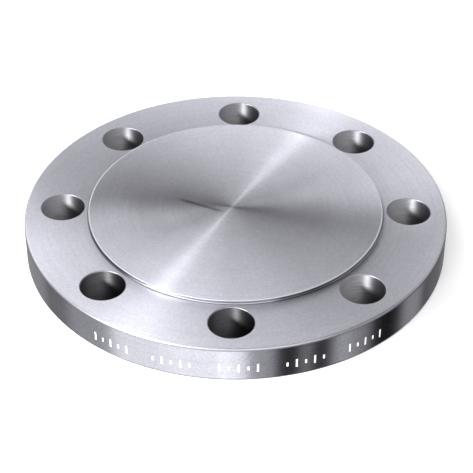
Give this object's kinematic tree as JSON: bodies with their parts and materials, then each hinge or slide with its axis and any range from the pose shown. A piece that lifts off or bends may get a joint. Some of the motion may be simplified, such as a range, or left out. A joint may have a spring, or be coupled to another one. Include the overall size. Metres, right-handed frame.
{
  "type": "blind flange",
  "caption": "Round raised-face blind flange that closes the end of a pipe or a valve, drilled for a circle of stud bolts.",
  "frame": {"origin": "centre of the back face, which the flange lies on", "axes": "+Z along the flange's axis from the back face towards the raised gasket face; +X through the middle of one bolt hole; -Y towards the middle of the stamped marks on the rim"},
  "size_m": [0.225, 0.225, 0.022],
  "materials": {
    "turned_steel": "bare steel, turned in fine rings on the faces and the rim"
  },
  "bodies": {
    "root": {"flange": "turned_steel"}
  },
  "joints": []
}
